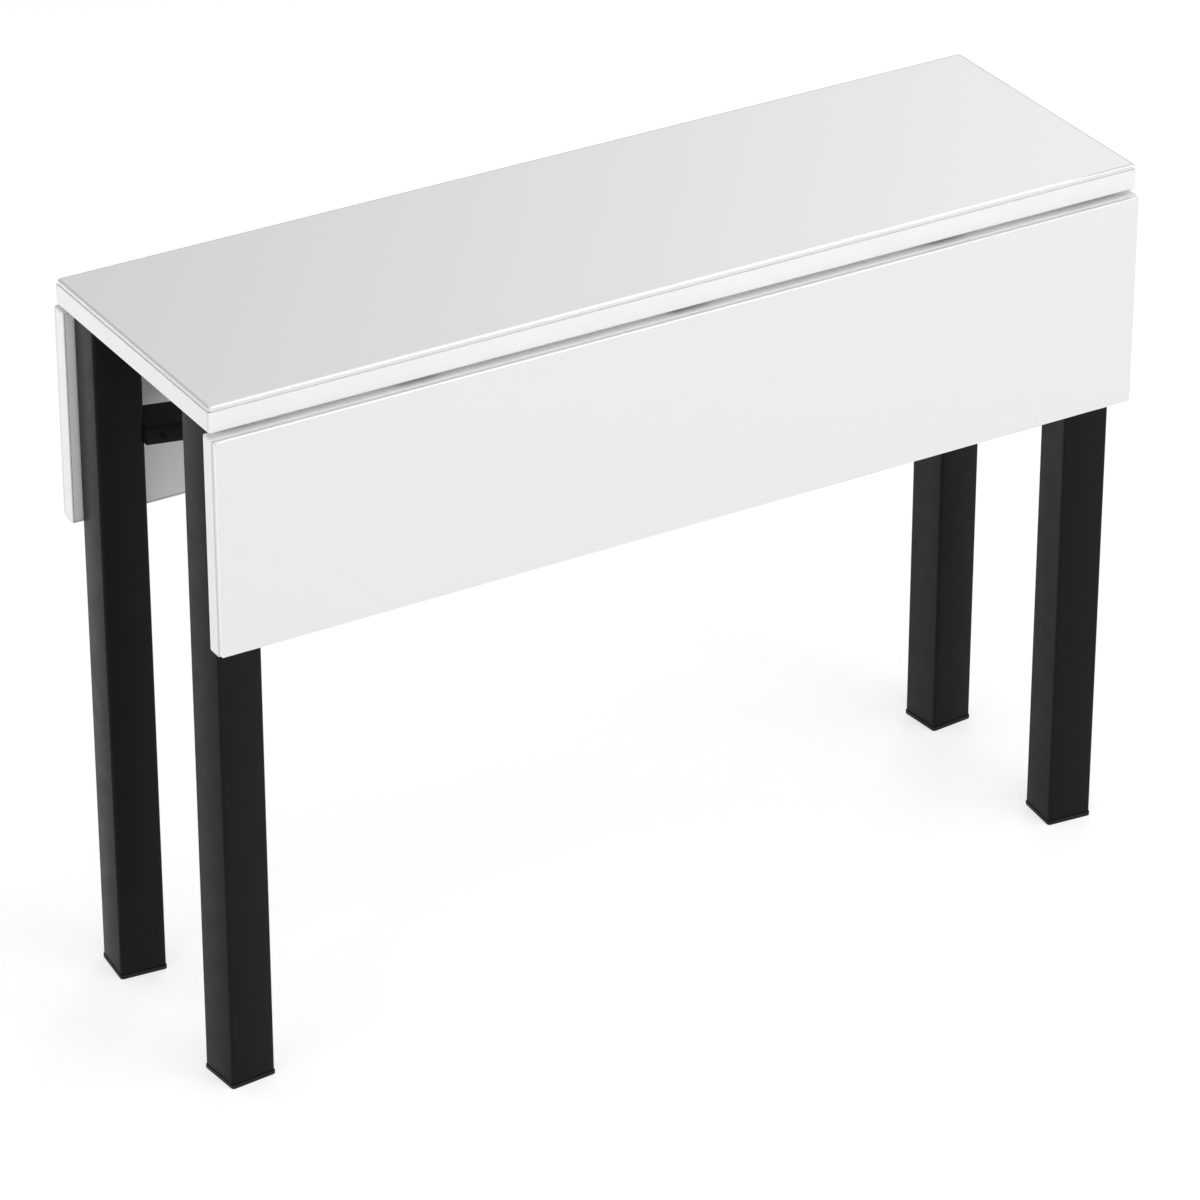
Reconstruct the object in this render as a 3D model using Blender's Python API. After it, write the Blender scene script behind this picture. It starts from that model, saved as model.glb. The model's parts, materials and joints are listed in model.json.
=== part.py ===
"""Drop-leaf kitchen table with glass faces on a scissor frame, shown with both leaves hanging.

Lengths are metres, +Z is up, +X runs along the table and the front is -Y.
The fixed middle carries two leaves on cranked hinges sunk into its underside.
Two diagonal arms cross on a bolt under the middle, and each carries a leg at either end.
"""

import math

import bmesh
import bpy
from mathutils import Matrix

# Overall size and the panels.
TOP_LENGTH = 1.050
TOP_WIDTH = 0.320
HEIGHT = 0.770
LEAF_WIDTH = 0.232
GLASS = 0.005
BOND_LINE = 0.0005
TOP_BOARD = 0.022
LEAF_BOARD = 0.016
GLASS_INSET = 0.0008
GLASS_CORNER = 0.003
GLASS_ARRIS = 0.0012
BOARD_CORNER = 0.0015
BOARD_EASE = 0.0005
BOARD_LOWER_EASE = 0.0015

# How the leaves hang beside the middle, and the joint left when they are raised.
LEAF_PROUD = 0.0085
LEAF_BELOW = 0.0045
LEAF_JOINT = 0.003

# General running clearance between neighbouring pieces.
CLEAR = 0.0003

# Legs, feet and the glides on which the legs carry the panels.
LEG = 0.050
LEG_WALL = 0.002
LEG_CORNER = 0.003
LEG_TURN = math.radians(5.1)
LEG_FROM_END = 0.004
LEG_FROM_LEAF = 0.003
FOOT_PROUD = 0.0007
FOOT_HEIGHT = 0.005
FOOT_EASE = 0.0008
FOOT_PLUG = 0.020
GLIDE_HEAD = 0.004
GLIDE_PLUG = 0.018
GLIDE_GAP = 0.0005

# Crossing arms and their sockets.
BEAM_WIDTH = 0.050
BEAM_HEIGHT = 0.020
BEAM_WALL = 0.002
BEAM_CORNER = 0.002
BEAM_BELOW_TOP = 0.094
STUB_LENGTH = 0.045
STUB_WELD = 0.001
SET_SCREW = 0.005
SET_SCREW_DEPTH = 0.024
SET_SCREW_SUNK = 0.0006
SET_SCREW_FROM_LEG = 0.020

# Pivot under the middle.
PIVOT_BOLT = 0.012
PIVOT_HEAD = 0.0105
PIVOT_HEAD_HEIGHT = 0.008
PIVOT_NUT_HEIGHT = 0.010
PIVOT_END = 0.003
WASHER = 0.002
WASHER_RADIUS = 0.020
SLEEVE_WALL = 0.0035
POST_RADIUS = 0.021
POST_WALL = 0.003
POST_FLOOR = 0.004
POST_PLATE_LENGTH = 0.120
POST_PLATE_WIDTH = 0.090
POST_PLATE = 0.004
POST_PLATE_CORNER = 0.012
POST_SCREW_INSET = 0.013

# Cranked hinges, three to a leaf.
HINGE_SPACING = 0.300
PIN_RADIUS = 0.0025
EYE_RADIUS = 0.005
STRAP = 0.0025
STRAP_WIDTH = 0.032
STRAP_REACH = 0.062
STRAP_CORNER = 0.006
STRAP_SCREW_FROM_END = 0.010
STRAP_SCREW_ROW = 0.022
STRAP_SCREW_ACROSS = 0.009
NECK_BELOW = 0.00125
NECK_BEND = 0.003
CRANK_START = 0.002
CRANK_END = 0.009
EAR = 0.003
EAR_RADIUS = 0.0055
EAR_GAP = 0.0005
EAR_ROUND_FROM = math.radians(-30)
EAR_ROUND_TO = math.radians(108)
PIN_OVERHANG = 0.001
PLATE_LENGTH = 0.034
PLATE_WIDTH = 0.056
PLATE_CORNER = 0.005
PLATE_SCREW_FROM_END = 0.009
PLATE_SCREW_ROW = 0.014
PLATE_SCREW_ACROSS = 0.017
POCKET_CLEAR = 0.0012
POCKET_CORNER = 0.003

# Countersunk holes for the screws of the hinges and of the pivot plate.
SCREW_HOLE = 0.0042
SCREW_HEAD = 0.0082
SCREW_SINK = (SCREW_HEAD - SCREW_HOLE) / 2

CORNER_STEPS = 3
ROUND_STEPS = 24
SCREW_STEPS = 12
CREASE = math.radians(32)

# Levels, from the glass face downwards.
TOP_THICK = GLASS + BOND_LINE + TOP_BOARD
LEAF_THICK = GLASS + BOND_LINE + LEAF_BOARD
UNDERSIDE = HEIGHT - TOP_THICK

# One pin takes a leaf from hanging, proud and below, to level with the middle.
HANG_LEVEL = -(TOP_THICK + LEAF_BELOW)
AXIS_OUT = (LEAF_PROUD + LEAF_JOINT + HANG_LEVEL) / 2
AXIS_UP = (HANG_LEVEL + LEAF_JOINT - LEAF_PROUD) / 2
AXIS_Y = TOP_WIDTH / 2 + AXIS_OUT
AXIS_Z = HEIGHT + AXIS_UP
LEAF_FACE = LEAF_PROUD - AXIS_OUT
LEAF_EDGE = HANG_LEVEL - AXIS_UP
BOARD_LEVEL = -TOP_THICK - AXIS_UP

# Foot of each arm: the legs stand just inside the ends and the hanging leaves.
FOOT = LEG + 2 * FOOT_PROUD
FOOT_REACH = FOOT / 2 * (math.cos(LEG_TURN) + math.sin(LEG_TURN))
LEG_X = TOP_LENGTH / 2 - LEG_FROM_END - FOOT_REACH
LEG_Y = AXIS_Y + LEAF_FACE - LEAF_THICK - LEG_FROM_LEAF - FOOT_REACH
ARM_REACH = math.hypot(LEG_X, LEG_Y)
ARM_ANGLE = math.atan2(LEG_Y, LEG_X)
LEG_SKEW = LEG_TURN - ARM_ANGLE
LEG_BORE = LEG - 2 * LEG_WALL

# Heights of the stacked arms on the pivot bolt.
UPPER_BEAM_TOP = UNDERSIDE - BEAM_BELOW_TOP
STEP_DOWN = BEAM_HEIGHT + WASHER + 2 * CLEAR
LOWER_BEAM_TOP = UPPER_BEAM_TOP - STEP_DOWN
PIVOT_BORE = PIVOT_BOLT / 2 + CLEAR
POST_FOOT = UPPER_BEAM_TOP + WASHER + 2 * CLEAR

# Hinge levels, measured from the pin.
NECK_LEVEL = BOARD_LEVEL - NECK_BELOW - STRAP / 2
STRAP_LEVEL = LEAF_FACE - LEAF_THICK - CLEAR - STRAP / 2
NECK_DEPTH = -NECK_LEVEL + STRAP / 2
POCKET_INNER = -math.hypot(NECK_DEPTH, STRAP / 2) - POCKET_CLEAR
POCKET_OUTER = EYE_RADIUS + POCKET_CLEAR
POCKET_TOP = EAR_RADIUS + POCKET_CLEAR
PLATE_TOP = BOARD_LEVEL - CLEAR
EAR_INNER = STRAP_WIDTH / 2 + EAR_GAP
EAR_OUTER = EAR_INNER + EAR
PIN_HALF = EAR_OUTER + PIN_OVERHANG
PIN_BORE = PIN_RADIUS + CLEAR

FINISHES = {
    "glass": ((0.82, 0.83, 0.84), 0.06, 0.0),
    "board": ((0.88, 0.88, 0.87), 0.42, 0.0),
    "black_steel": ((0.018, 0.018, 0.018), 0.45, 0.0),
    "black_plastic": ((0.012, 0.012, 0.012), 0.6, 0.0),
    "nylon": ((0.70, 0.69, 0.64), 0.5, 0.0),
    "zinc": ((0.62, 0.63, 0.64), 0.35, 1.0),
}


def clear_scene():
    """Removes whatever the file holds before the table is built."""
    for obj in list(bpy.data.objects):
        bpy.data.objects.remove(obj, do_unlink=True)


def make_object(name, mesh):
    """Links a new object to the scene."""
    obj = bpy.data.objects.new(name, mesh)
    bpy.context.scene.collection.objects.link(obj)
    return obj


def skin(name, loops, closed=False):
    """Joins matching loops into one solid: capped at both ends, or closed round into a ring."""
    bm = bmesh.new()
    rings = [[bm.verts.new(point) for point in loop] for loop in loops]
    pairs = list(zip(rings, rings[1:]))
    if closed:
        pairs.append((rings[-1], rings[0]))
    else:
        bm.faces.new(rings[0])
        bm.faces.new(rings[-1])
    for low, high in pairs:
        for i, vert in enumerate(low):
            j = (i + 1) % len(low)
            bm.faces.new((vert, low[j], high[j], high[i]))
    bmesh.ops.recalc_face_normals(bm, faces=bm.faces)
    mesh = bpy.data.meshes.new(name)
    bm.to_mesh(mesh)
    bm.free()
    return make_object(name, mesh)


def combine(target, tool, operation):
    """Cuts a tool out of a solid or joins it on, and drops the tool."""
    boolean = target.modifiers.new(operation, "BOOLEAN")
    boolean.operation = operation
    boolean.object = tool
    boolean.solver = "EXACT"
    bpy.context.view_layer.update()
    evaluated = target.evaluated_get(bpy.context.evaluated_depsgraph_get())
    result = bpy.data.meshes.new_from_object(evaluated)
    target.modifiers.clear()
    target.data = result
    bpy.data.objects.remove(tool, do_unlink=True)


def finish(obj, kind, parent=None, location=(0, 0, 0)):
    """Gives a piece its own material, smooths its rounds and hangs it on the empty that carries it."""
    colour, roughness, metallic = FINISHES[kind]
    material = bpy.data.materials.new(obj.name + "_" + kind)
    material.use_nodes = True
    shader = material.node_tree.nodes["Principled BSDF"]
    shader.inputs["Base Color"].default_value = (*colour, 1)
    shader.inputs["Roughness"].default_value = roughness
    shader.inputs["Metallic"].default_value = metallic
    obj.data.materials.clear()
    obj.data.materials.append(material)
    obj.data.shade_smooth()
    obj.data.set_sharp_from_angle(angle=CREASE)
    obj.parent = parent
    obj.location = location
    return obj


def carrier(name, location, turn):
    """An empty on a joint's axis, turned about Z."""
    empty = make_object(name, None)
    empty.location = location
    empty.rotation_euler = (0, 0, turn)
    return empty


def arc(centre, radius, start, end, steps):
    """Points along an arc in a plane."""
    angles = [start + (end - start) * i / steps for i in range(steps + 1)]
    return [(centre[0] + radius * math.cos(a), centre[1] + radius * math.sin(a)) for a in angles]


def rounded_rectangle(length, width, corner):
    """Outline of a rectangle with rounded corners, centred, anticlockwise."""
    points = []
    for quarter, (sx, sy) in enumerate(((1, 1), (-1, 1), (-1, -1), (1, -1))):
        centre = (sx * (length / 2 - corner), sy * (width / 2 - corner))
        start = quarter * math.pi / 2
        points += arc(centre, corner, start, start + math.pi / 2, CORNER_STEPS)
    return points


def inset_corners(length, width, inset):
    """The four points at an inset from the corners of a rectangle."""
    x, y = length / 2 - inset, width / 2 - inset
    return [(-x, -y), (x, -y), (x, y), (-x, y)]


def flat(outline, level):
    """Lays an outline at a height."""
    return [(x, y, level) for x, y in outline]


def plan(outline, turn, centre):
    """Turns an outline in plan and moves it to a centre."""
    c, s = math.cos(turn), math.sin(turn)
    return [(centre[0] + c * x - s * y, centre[1] + s * x + c * y) for x, y in outline]


def circle(radius, steps=ROUND_STEPS):
    """A full round about the origin."""
    return arc((0, 0), radius, 0, 2 * math.pi, steps)[:-1]


def hexagon(corner_radius):
    """A hexagon with as many points as a round, so the two can be skinned together."""
    points = []
    for x, y in circle(1):
        from_corner = math.atan2(y, x) % (math.pi / 3)
        reach = corner_radius * math.cos(math.pi / 6) / math.cos(from_corner - math.pi / 6)
        points.append((x * reach, y * reach))
    return points


def turned(name, profile, closed=False):
    """Revolves a list of (radius, height) about Z."""
    return skin(name, [flat(circle(radius), level) for radius, level in profile], closed)


def slab(name, length, width, corner, steps):
    """A panel from (level, inset) pairs, so its edges can be eased."""
    loops = []
    for level, inset in steps:
        outline = rounded_rectangle(length - 2 * inset, width - 2 * inset, corner)
        loops.append(flat(outline, level))
    return skin(name, loops)


def stand_up(obj, face, edge):
    """Hangs a panel, drawn with its face up, from the hinge line with that face outwards."""
    tilt = Matrix(((1, 0, 0, 0), (0, 0, 1, face), (0, -1, 0, edge), (0, 0, 0, 1)))
    obj.data.transform(tilt)
    return obj


def glass_panel(name, length, width, face_level):
    """Toughened glass with rounded corners and a ground arris round both faces."""
    steps = (
        (face_level - GLASS, GLASS_ARRIS),
        (face_level - GLASS + GLASS_ARRIS, 0),
        (face_level - GLASS_ARRIS, 0),
        (face_level, GLASS_ARRIS),
    )
    return slab(name, length - 2 * GLASS_INSET, width - 2 * GLASS_INSET, GLASS_CORNER, steps)


def board_panel(name, length, width, face_level, thick, lower_ease):
    """Edged board under the glass, its long lower arrises eased."""
    bottom = face_level - GLASS - BOND_LINE - thick
    steps = (
        (bottom, lower_ease),
        (bottom + lower_ease, 0),
        (bottom + thick - BOARD_EASE, 0),
        (bottom + thick, BOARD_EASE),
    )
    return slab(name, length, width, BOARD_CORNER, steps)


def hinge_places():
    """Place along the table of each hinge of a leaf."""
    return (-HINGE_SPACING, 0, HINGE_SPACING)


def pocket_tool(place, side):
    """The pocket that a hinge sinks into, cut from below the middle board."""
    length = 2 * (PIN_HALF + POCKET_CLEAR)
    width = POCKET_OUTER - POCKET_INNER
    outline = rounded_rectangle(length, width, POCKET_CORNER)
    middle = (place, side * (AXIS_Y + (POCKET_OUTER + POCKET_INNER) / 2))
    outline = plan(outline, 0, middle)
    return skin("pocket", [flat(outline, UNDERSIDE - TOP_BOARD), flat(outline, AXIS_Z + POCKET_TOP)])


def make_top():
    """The fixed middle: board with its hinge pockets, and the glass on it."""
    board = board_panel("top_board", TOP_LENGTH, TOP_WIDTH, HEIGHT, TOP_BOARD, BOARD_LOWER_EASE)
    for side in (-1, 1):
        for place in hinge_places():
            combine(board, pocket_tool(place, side), "DIFFERENCE")
    finish(board, "board")
    finish(glass_panel("top_glass", TOP_LENGTH, TOP_WIDTH, HEIGHT), "glass")


def make_leaf(name, parent):
    """A hanging leaf: board and glass, drawn face up and then hung from the hinge line."""
    board = board_panel(name + "_board", TOP_LENGTH, LEAF_WIDTH, 0, LEAF_BOARD, BOARD_EASE)
    glass = glass_panel(name + "_glass", TOP_LENGTH, LEAF_WIDTH, 0)
    middle = LEAF_EDGE - LEAF_WIDTH / 2
    finish(stand_up(board, LEAF_FACE, middle), "board", parent)
    finish(stand_up(glass, LEAF_FACE, middle), "glass", parent)


def bend(points, radius, steps):
    """Centre line of a bent strip: each inner corner of the path becomes an arc."""
    path = [points[0]]
    for before, corner, after in zip(points, points[1:], points[2:]):
        a_in = math.atan2(corner[1] - before[1], corner[0] - before[0])
        a_out = math.atan2(after[1] - corner[1], after[0] - corner[0])
        swing = math.remainder(a_out - a_in, 2 * math.pi)
        side = math.copysign(1, swing)
        back = radius * math.tan(abs(swing) / 2)
        start = (corner[0] - back * math.cos(a_in), corner[1] - back * math.sin(a_in))
        centre = (start[0] - side * radius * math.sin(a_in), start[1] + side * radius * math.cos(a_in))
        first = a_in - side * math.pi / 2
        path += arc(centre, radius, first, first + swing, steps)
    return path + [points[-1]]


def offset(path, distance):
    """Moves a path sideways, to its left for a positive distance."""
    moved = []
    for i, point in enumerate(path):
        before, after = path[max(i - 1, 0)], path[min(i + 1, len(path) - 1)]
        along = math.atan2(after[1] - before[1], after[0] - before[0])
        moved.append((point[0] - distance * math.sin(along), point[1] + distance * math.cos(along)))
    return moved


def bore_tool():
    """The hole for a hinge pin, along X through the pin's axis."""
    half = PIN_HALF + EAR
    return skin("bore", [[(x, y, z) for y, z in circle(PIN_BORE)] for x in (-half, half)])


def countersunk(x, y, z, along):
    """Tool for a screw hole whose head lies at a point, drawn along Y or Z into the metal."""
    wide, narrow = circle(SCREW_HEAD / 2 + CLEAR, SCREW_STEPS), circle(SCREW_HOLE / 2, SCREW_STEPS)
    loops = []
    for outline, depth in ((wide, -CLEAR), (narrow, SCREW_SINK), (narrow, POST_PLATE + STRAP)):
        if along == "Y":
            loops.append([(x + a, y + depth, z + b) for a, b in outline])
        else:
            loops.append([(x + a, y + b, z + depth) for a, b in outline])
    return skin("screw_hole", loops)


def make_strap(name, parent, place):
    """Moving half of a hinge: a strap on the leaf, cranked under the board to an eye on the pin."""
    edge = LEAF_EDGE
    corners = (
        (0, 0),
        (NECK_LEVEL, 0),
        (NECK_LEVEL, edge - CRANK_START),
        (STRAP_LEVEL, edge - CRANK_END),
        (STRAP_LEVEL, edge - STRAP_REACH),
    )
    path = bend(corners, NECK_BEND, CORNER_STEPS + 1)
    lean = math.asin(STRAP / 2 / EYE_RADIUS)
    eye = arc((0, 0), EYE_RADIUS, math.pi + lean, 3 * math.pi - lean, ROUND_STEPS)
    outline = eye + offset(path, -STRAP / 2)[1:] + offset(path, STRAP / 2)[:0:-1]
    half = STRAP_WIDTH / 2
    strap = skin(name, [[(x, y, z) for y, z in outline] for x in (-half, half)])
    combine(strap, bore_tool(), "DIFFERENCE")
    end = edge - STRAP_REACH
    rounding = rounded_rectangle(STRAP_WIDTH + CLEAR, 2 * (STRAP_REACH + STRAP_WIDTH), STRAP_CORNER)
    middle = end + STRAP_REACH + STRAP_WIDTH
    sides = (NECK_LEVEL - STRAP_WIDTH, STRAP_WIDTH)
    keep = skin("rounding", [[(x, y, middle + z) for x, z in rounding] for y in sides])
    combine(strap, keep, "INTERSECT")
    low = end + STRAP_SCREW_FROM_END
    head = STRAP_LEVEL - STRAP / 2
    for x, z in ((-STRAP_SCREW_ACROSS, low), (STRAP_SCREW_ACROSS, low), (0, low + STRAP_SCREW_ROW)):
        combine(strap, countersunk(x, head, z, "Y"), "DIFFERENCE")
    finish(strap, "zinc", parent, (place, 0, 0))


def make_plate(name, parent, place):
    """Fixed half of a hinge: a plate under the board with two ears that rise to the pin."""
    low = PLATE_TOP - STRAP
    inner = POCKET_INNER - PLATE_LENGTH
    outline = rounded_rectangle(PLATE_WIDTH, PLATE_LENGTH, PLATE_CORNER)
    outline = plan(outline, 0, (0, inner + PLATE_LENGTH / 2))
    plate = skin(name, [flat(outline, low), flat(outline, PLATE_TOP)])
    shoulder = POCKET_INNER + POCKET_CLEAR
    ear = [(inner + PLATE_LENGTH / 2, low), (-EAR_RADIUS / 2, low)]
    ear += arc((0, 0), EAR_RADIUS, EAR_ROUND_FROM, EAR_ROUND_TO, CORNER_STEPS * 2)
    ear += [(shoulder, PLATE_TOP + EAR_RADIUS / 2), (shoulder, PLATE_TOP)]
    ear += [(inner + PLATE_LENGTH / 2, PLATE_TOP)]
    for start, end in ((-EAR_OUTER, -EAR_INNER), (EAR_INNER, EAR_OUTER)):
        tool = skin("ear", [[(x, y, z) for y, z in ear] for x in (start, end)])
        combine(plate, tool, "UNION")
    combine(plate, bore_tool(), "DIFFERENCE")
    row = inner + PLATE_SCREW_FROM_END
    for x, y in ((-PLATE_SCREW_ACROSS, row), (PLATE_SCREW_ACROSS, row), (0, row + PLATE_SCREW_ROW)):
        combine(plate, countersunk(x, y, low, "Z"), "DIFFERENCE")
    finish(plate, "zinc", parent, (place, 0, 0))


def make_pin(name, parent, place):
    """Hinge pin between the ears."""
    pin = skin(name, [[(x, y, z) for y, z in circle(PIN_RADIUS)] for x in (-PIN_HALF, PIN_HALF)])
    finish(pin, "zinc", parent, (place, 0, 0))


def make_side(name, turn):
    """One leaf with its hinges, drawn for the rear and turned about Z for the front."""
    outwards = math.cos(turn)
    axis = (0, outwards * AXIS_Y, AXIS_Z)
    fixed = carrier(name + "_hinge_line", axis, turn)
    moving = carrier(name + "_leaf_axis", axis, turn)
    make_leaf(name + "_leaf", moving)
    for number, place in enumerate(hinge_places(), start=1):
        label = f"{name}_hinge_{number}"
        make_plate(label + "_plate", fixed, place)
        make_pin(label + "_pin", fixed, place)
        make_strap(label + "_strap", moving, place)


def make_pivot():
    """The post under the middle and the bolt stack on which both arms turn."""
    plate_top = UNDERSIDE - CLEAR
    plate_low = plate_top - POST_PLATE
    outline = rounded_rectangle(POST_PLATE_LENGTH, POST_PLATE_WIDTH, POST_PLATE_CORNER)
    post = skin("pivot_post", [flat(outline, plate_low), flat(outline, plate_top)])
    tube_top = plate_low + POST_PLATE / 2
    bore = POST_RADIUS - POST_WALL
    floor = POST_FOOT + POST_FLOOR
    profile = (
        (PIVOT_BORE, POST_FOOT),
        (POST_RADIUS, POST_FOOT),
        (POST_RADIUS, tube_top),
        (bore, tube_top),
        (bore, floor),
        (PIVOT_BORE, floor),
    )
    combine(post, turned("column", profile, closed=True), "UNION")
    for x, y in inset_corners(POST_PLATE_LENGTH, POST_PLATE_WIDTH, POST_SCREW_INSET):
        combine(post, countersunk(x, y, plate_low, "Z"), "DIFFERENCE")
    finish(post, "black_steel")

    nut_low = floor + CLEAR
    nut_top = nut_low + PIVOT_NUT_HEIGHT
    head_top = LOWER_BEAM_TOP - BEAM_HEIGHT - WASHER - 2 * CLEAR
    head_low = head_top - PIVOT_HEAD_HEIGHT
    outside, inside = hexagon(PIVOT_HEAD), circle(PIVOT_BORE)
    ring = [flat(outside, nut_low), flat(outside, nut_top), flat(inside, nut_top), flat(inside, nut_low)]
    finish(skin("pivot_nut", ring, closed=True), "zinc")
    shank = circle(PIVOT_BOLT / 2)
    bolt = [flat(outside, head_low), flat(outside, head_top)]
    bolt += [flat(shank, head_top), flat(shank, nut_top + PIVOT_END)]
    finish(skin("pivot_bolt", bolt), "zinc")

    levels = {
        "upper": UPPER_BEAM_TOP + CLEAR,
        "middle": LOWER_BEAM_TOP + CLEAR,
        "lower": head_top + CLEAR,
    }
    for label, level in levels.items():
        ring = (
            (PIVOT_BORE, level),
            (WASHER_RADIUS, level),
            (WASHER_RADIUS, level + WASHER),
            (PIVOT_BORE, level + WASHER),
        )
        finish(turned(f"pivot_washer_{label}", ring, closed=True), "nylon")


def leg_face(across, reach, skew):
    """Where a line beside the arm's middle meets the plane parallel to a leg's inner face."""
    return -ARM_REACH + (reach - across * math.sin(skew)) / math.cos(skew)


def beam_section(width, height, corner, middle):
    """Cross-section of a beam, as (across, level) points about its middle height."""
    return [(y, middle + z) for y, z in rounded_rectangle(width, height, corner)]


def make_beam(name, parent, skew, top):
    """Rectangular tube from leg to leg, its ends cut to the legs' faces, bored for the pivot."""
    middle = top - BEAM_HEIGHT / 2
    inner_width = BEAM_WIDTH - 2 * BEAM_WALL
    inner_height = BEAM_HEIGHT - 2 * BEAM_WALL
    outer = beam_section(BEAM_WIDTH, BEAM_HEIGHT, BEAM_CORNER, middle)
    inner = beam_section(inner_width, inner_height, BEAM_CORNER / 2, middle)
    reach = LEG / 2 + CLEAR

    def left(section):
        return [(leg_face(y, reach, skew), y, z) for y, z in section]

    def right(section):
        return [(-leg_face(-y, reach, skew), y, z) for y, z in section]

    beam = skin(name, [left(outer), right(outer), right(inner), left(inner)], closed=True)
    bore = ((PIVOT_BORE, middle - BEAM_HEIGHT), (PIVOT_BORE, middle + BEAM_HEIGHT))
    combine(beam, turned("bore", bore), "DIFFERENCE")
    for end in (-1, 1):
        hole = screw_solid(end, middle, SET_SCREW / 2 + CLEAR, -BEAM_WALL, BEAM_WALL * 2)
        combine(beam, hole, "DIFFERENCE")
    finish(beam, "black_steel", parent)

    sleeve_low = middle - inner_height / 2 + CLEAR
    sleeve_top = middle + inner_height / 2 - CLEAR
    ring = (
        (PIVOT_BORE, sleeve_low),
        (PIVOT_BORE + SLEEVE_WALL, sleeve_low),
        (PIVOT_BORE + SLEEVE_WALL, sleeve_top),
        (PIVOT_BORE, sleeve_top),
    )
    finish(turned(name + "_sleeve", ring, closed=True), "zinc", parent)


def screw_solid(end, middle, radius, start, depth):
    """A round along Y into a beam's front wall, near the leg at one end of the arm."""
    place = end * (ARM_REACH - LEG / 2 - SET_SCREW_FROM_LEG)
    outline = circle(radius, ROUND_STEPS // 2)
    front = -BEAM_WIDTH / 2
    ends = (front + start, front + depth)
    return skin("screw", [[(place + x, y, middle + z) for x, z in outline] for y in ends])


def make_set_screw(name, parent, end, top):
    """Screw sunk through the beam's front wall into the leg's stub."""
    screw = screw_solid(end, top - BEAM_HEIGHT / 2, SET_SCREW / 2, SET_SCREW_SUNK, SET_SCREW_DEPTH)
    screw.name = name
    finish(screw, "black_steel", parent)


def make_leg(name, parent, end, skew, top):
    """Square tube with a welded stub that fills the end of the arm's beam."""
    centre = (end * ARM_REACH, 0)
    outer = plan(rounded_rectangle(LEG, LEG, LEG_CORNER), skew, centre)
    inner = plan(rounded_rectangle(LEG_BORE, LEG_BORE, LEG_CORNER - LEG_WALL), skew, centre)
    low = FOOT_HEIGHT + CLEAR
    high = UNDERSIDE - GLIDE_GAP - GLIDE_HEAD - CLEAR
    loops = [flat(outer, low), flat(outer, high), flat(inner, high), flat(inner, low)]
    leg = skin(name, loops, closed=True)

    middle = top - BEAM_HEIGHT / 2
    spare = 2 * (BEAM_WALL + CLEAR)
    section = beam_section(BEAM_WIDTH - spare, BEAM_HEIGHT - spare, BEAM_CORNER / 2, middle)
    reach = LEG / 2 - STUB_WELD
    tip = -ARM_REACH + LEG / 2 + STUB_LENGTH
    loops = [[(leg_face(-end * y, reach, skew), -end * y, z) for y, z in section]]
    loops.append([(tip, -end * y, z) for y, z in section])
    loops = [[(-end * x, -end * y, z) for x, y, z in loop] for loop in loops]
    combine(leg, skin("stub", loops), "UNION")
    hole = screw_solid(end, middle, SET_SCREW / 2 + CLEAR, 0, SET_SCREW_DEPTH + 2 * CLEAR)
    combine(leg, hole, "DIFFERENCE")
    finish(leg, "black_steel", parent)


def make_foot(name, parent, end, skew):
    """Moulded cap under a leg: a low flange and a plug in the tube."""
    plug = LEG_BORE - 2 * CLEAR
    steps = (
        (0, FOOT - 2 * FOOT_EASE),
        (FOOT_EASE, FOOT),
        (FOOT_HEIGHT, FOOT),
        (FOOT_HEIGHT, plug),
        (FOOT_HEIGHT + FOOT_PLUG, plug),
    )
    finish(capped(name, steps, end, skew), "black_plastic", parent)


def make_glide(name, parent, end, skew):
    """Moulded plug in a leg's top, whose head slides under the panels."""
    plug = LEG_BORE - 2 * CLEAR
    head = UNDERSIDE - GLIDE_GAP - GLIDE_HEAD
    steps = (
        (head - GLIDE_PLUG, plug),
        (head, plug),
        (head, LEG),
        (head + GLIDE_HEAD - FOOT_EASE, LEG),
        (head + GLIDE_HEAD, LEG - 2 * FOOT_EASE),
    )
    finish(capped(name, steps, end, skew), "black_plastic", parent)


def capped(name, steps, end, skew):
    """A square moulding in line with a leg, from (level, size) pairs."""
    corner = LEG_CORNER - LEG_WALL
    loops = []
    for level, size in steps:
        outline = rounded_rectangle(size, size, corner if size < LEG_BORE else LEG_CORNER)
        loops.append(flat(plan(outline, skew, (end * ARM_REACH, 0)), level))
    return skin(name, loops)


def make_arm(name, side, top, left, right):
    """One diagonal arm, turned to its angle about the pivot: beam, two legs and their fittings."""
    pivot = carrier(name + "_pivot", (0, 0, 0), side * ARM_ANGLE)
    skew = side * LEG_SKEW
    make_beam(name + "_beam", pivot, skew, top)
    for end, corner in ((-1, left), (1, right)):
        make_leg("leg_" + corner, pivot, end, skew, top)
        make_foot("foot_" + corner, pivot, end, skew)
        make_glide("glide_" + corner, pivot, end, skew)
        make_set_screw("set_screw_" + corner, pivot, end, top)


def main():
    """Builds the whole table at rest."""
    clear_scene()
    make_top()
    make_side("rear", 0)
    make_side("front", math.pi)
    make_pivot()
    make_arm("upper_arm", 1, UPPER_BEAM_TOP, "front_left", "rear_right")
    make_arm("lower_arm", -1, LOWER_BEAM_TOP, "rear_left", "front_right")
    bpy.context.view_layer.update()


main()
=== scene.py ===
# %% [markdown]
# # A drop-leaf table, dressed for its portrait
#
# The solids of this table are already built, and they move on their joints. What they lack is the way they
# look: white glass over edged boards, a black coated scissor frame, bright hinges. In this notebook we lay
# that finish over the solids, one material and one small fitting at a time.
#
# We start by loading the solids. Much of what follows is measured from them, so the first thing to keep is
# their box.

# %% Load the table and keep its box
import json
import math

import bmesh
import bpy
from mathutils import Matrix, Vector


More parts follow.
